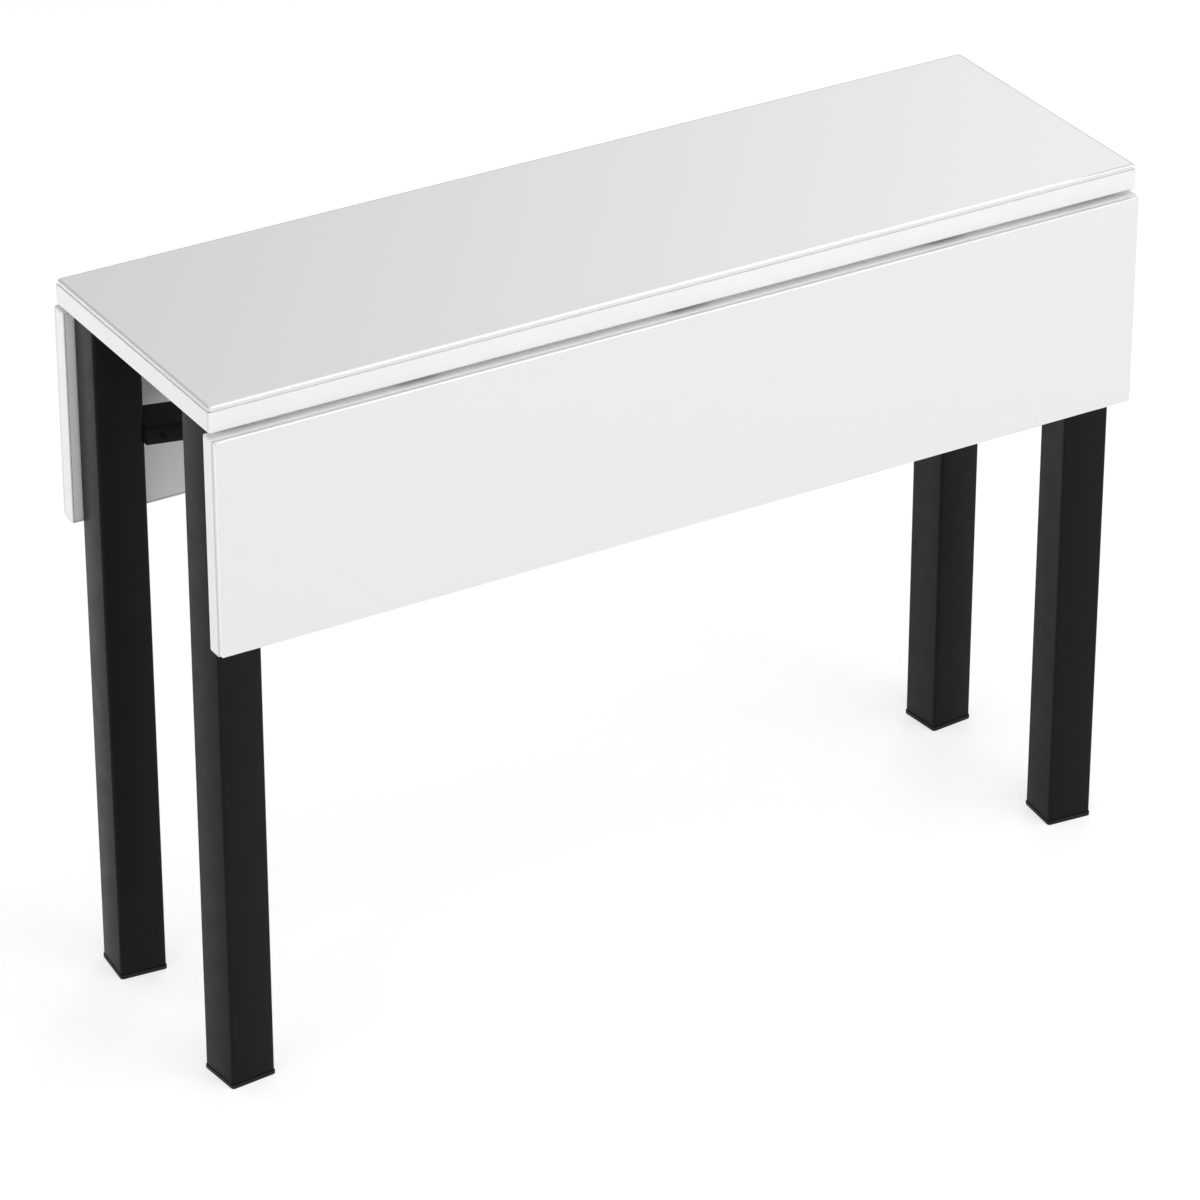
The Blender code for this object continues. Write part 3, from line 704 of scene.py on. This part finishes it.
def outline(radius_at):
    """Points round the Z axis, each at the distance given for its angle."""
    angles = [2 * math.pi * i / ROUND_POINTS for i in range(ROUND_POINTS)]
    return [(radius_at(a) * math.cos(a), radius_at(a) * math.sin(a)) for a in angles]


def round_of(radius):
    """A circle."""
    return outline(lambda angle: radius)


def cross_of(reach):
    """A cross with four arms, each as wide as an arm's tip spans thirty degrees."""

    def radius_at(angle):
        off_arm = abs(math.remainder(angle, math.pi / 2))
        half_width = reach * math.tan(CROSS_HALF_ARM)
        return min(reach / math.cos(off_arm), half_width / max(math.sin(off_arm), NEAR_ZERO))

    return outline(radius_at)


def raised(points, level):
    """Lays an outline at a height along the axis."""
    return [(x, y, level) for x, y in points]


def standing(at, direction):
    """The matrix that stands a fitting on a point, its head looking along a direction."""
    return Matrix.Translation(at) @ direction.to_track_quat("Z", "Y").to_matrix().to_4x4()


print("points in a screw's outline:", ROUND_POINTS)

# %% [markdown]
# A screw is then six rings: two for the neck, two for the cone of the head up to its rim, and two for the
# recess, which narrows as it goes down. A cylinder with a line across it would do under a table. But the
# hinges show when a leaf is up, and a true recess catches the light. The first four screws hold the plate of
# the pivot, one in each corner.

# %% Screws of the pivot plate
NECK_RADIUS = 0.00195
NECK_END = 0.00245
CONE_START = 0.00205
HEAD_RADIUS = 0.00365
HEAD_RIM = 0.00028
HEAD_SUNK = 0.00012
RECESS = 0.0019
RECESS_TAPER = 0.62
RECESS_DEPTH = 0.0013
POST_SCREW_INSET = 0.013


def screws(name, spots, direction, body):
    """One piece with a countersunk screw in each spot, heads facing a direction."""
    solid = bmesh.new()
    for spot in spots:
        rings = [
            raised(round_of(NECK_RADIUS), -NECK_END),
            raised(round_of(NECK_RADIUS), -CONE_START),
            raised(round_of(HEAD_RADIUS), -HEAD_RIM),
            raised(round_of(HEAD_RADIUS), -HEAD_SUNK),
            raised(cross_of(RECESS), -HEAD_SUNK),
            raised(cross_of(RECESS * RECESS_TAPER), -RECESS_DEPTH),
        ]
        loft(solid, rings, standing(Vector(spot), Vector(direction)))
    return new_piece(name, solid, zinc, body)


plate_low = post_high.z - PIVOT_PLATE
corner_x, corner_y = post_high.x - POST_SCREW_INSET, post_high.y - POST_SCREW_INSET
spots = [(x * corner_x, y * corner_y, plate_low) for x, y in ((-1, -1), (1, -1), (1, 1), (-1, 1))]
screws("pivot_post_screws", spots, (0, 0, -1), "top")
print("pivot plate screws:", len(spots))

# %% [markdown]
# Each hinge takes three screws in its strap, into the leaf, and three in its plate, up into the middle. Their
# places could be typed in one by one. Taken from the solids' own boxes they stay in their holes if the table
# changes size. A strap's screws ride with the leaf and a plate's with the top.

# %% Hinge screws
HINGE_METAL = 0.0025
SEAT_GAP = 0.0003
STRAP_SCREW_FROM_END = 0.010
STRAP_SCREW_ACROSS = 0.009
STRAP_SCREW_ROW = 0.022
PLATE_SCREW_FROM_END = 0.009
PLATE_SCREW_ACROSS = 0.017
PLATE_SCREW_ROW = 0.014
screw_total = 0
for side, out in (("front", -1), ("rear", 1)):
    board_low, board_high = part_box(f"{side}_leaf_board")
    inner_face = min(abs(board_low.y), abs(board_high.y))
    for number in (1, 2, 3):
        hinge = f"{side}_hinge_{number}"
        low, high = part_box(hinge + "_strap")
        middle = (low.x + high.x) / 2
        face = out * (inner_face - SEAT_GAP - HINGE_METAL)
        row = low.z + STRAP_SCREW_FROM_END
        spots = [(middle + way * STRAP_SCREW_ACROSS, face, row) for way in (-1, 1)]
        spots.append((middle, face, row + STRAP_SCREW_ROW))
        screws(hinge + "_strap_screws", spots, (0, -out, 0), f"{side}_leaf")
        screw_total += len(spots)
        low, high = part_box(hinge + "_plate")
        row = (low.y if out > 0 else high.y) + out * PLATE_SCREW_FROM_END
        spots = [(middle + way * PLATE_SCREW_ACROSS, row, low.z) for way in (-1, 1)]
        spots.append((middle, row + out * PLATE_SCREW_ROW, low.z))
        screws(hinge + "_plate_screws", spots, (0, 0, -1), "top")
        screw_total += len(spots)
print("hinge screws:", screw_total)

# %% [markdown]
# The set screws that hold the legs in the beams are sunk into the front wall of each beam and blackened. The
# solid is a plain pin, and a black spot painted on it would pass for a socket. We measure its two ends and
# skin a new one with a real hexagon socket, which is the dark dot that shows between the left legs.

# %% Set screws with a hexagon socket
SOCKET_FLAT = 0.00125
SOCKET_TAPER = 0.96
SOCKET_DEPTH = 0.0025
SET_CHAMFER = 0.0004
oxide, tree, shader = start_finish("black_oxide", Metallic=1.0)
tint(tree, shader, noise(tree, scale=300.0), (0.012, 0.012, 0.013), (0.024, 0.024, 0.026))
roughen(tree, shader, noise(tree, scale=500.0), low=0.38, high=0.52)


def hexagon_of(flat):
    """A hexagon by its distance from the axis to a flat."""
    return outline(lambda angle: flat / math.cos(math.remainder(angle, math.pi / 3)))


def two_ends(node):
    """Middles of the front and the rear end of a pin that lies along Y."""
    points = {tuple(round(c, 6) for c in v.co) for v in NODES[node].data.vertices}
    middle = sum(y for x, y, z in points) / len(points)
    front = [Vector(point) for point in points if point[1] < middle]
    rear = [Vector(point) for point in points if point[1] >= middle]
    return sum(front, Vector()) / len(front), sum(rear, Vector()) / len(rear)


set_screws = [node for node in NODES if node.startswith("set_screw_")]
for node in set_screws:
    front, rear = two_ends(node)
    low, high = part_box(node)
    radius, length = (high.z - low.z) / 2, (rear - front).length
    rings = [
        raised(round_of(radius - SET_CHAMFER), -length),
        raised(round_of(radius), -length + SET_CHAMFER),
        raised(round_of(radius), -SET_CHAMFER),
        raised(round_of(radius - SET_CHAMFER), 0),
        raised(hexagon_of(SOCKET_FLAT), 0),
        raised(hexagon_of(SOCKET_FLAT * SOCKET_TAPER), -SOCKET_DEPTH),
    ]
    solid = bmesh.new()
    loft(solid, rings, standing(front, front - rear))
    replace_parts(new_piece(node + "_socket", solid, oxide, BODY_OF[node]), node)
    print(node, "length, mm:", round(length * 1000, 1))
